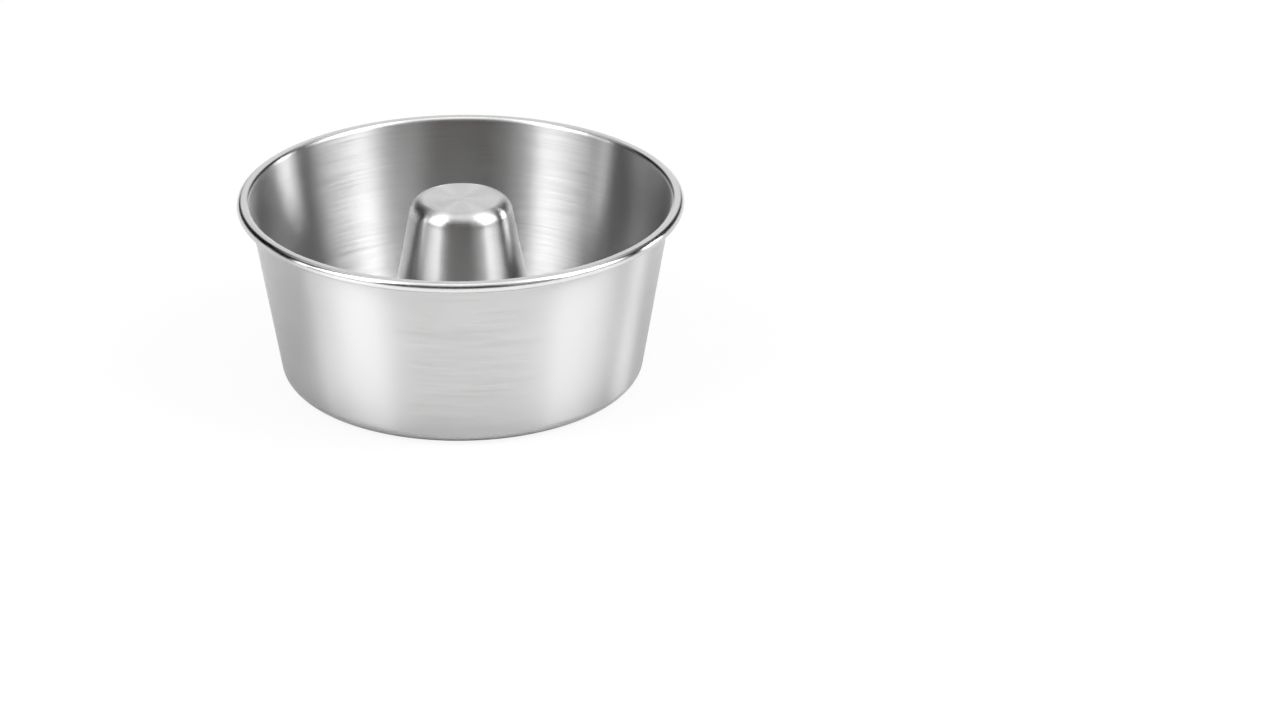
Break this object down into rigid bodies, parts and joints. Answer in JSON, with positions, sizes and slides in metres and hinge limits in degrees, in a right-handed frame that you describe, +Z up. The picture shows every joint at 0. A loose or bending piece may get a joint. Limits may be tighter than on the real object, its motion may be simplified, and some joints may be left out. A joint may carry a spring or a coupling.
{
  "type": "pudding mould",
  "caption": "Round tapered pudding mould in brushed steel with a flat-topped curled rim and a closed centre cone locked into its floor.",
  "frame": {"origin": "middle of the plane that the mould stands on", "axes": "+Z up along the mould's axis, out of its mouth; X and Y are free, because the mould is round"},
  "size_m": [0.22, 0.22, 0.0934],
  "materials": {
    "pan_steel": "stainless sheet, brushed round the axis inside and out",
    "cone_steel": "stainless sheet, brushed round the cone, with a smoother rounded shoulder"
  },
  "bodies": {
    "root": {"mould_body": "pan_steel", "centre_cone": "cone_steel"}
  },
  "joints": []
}
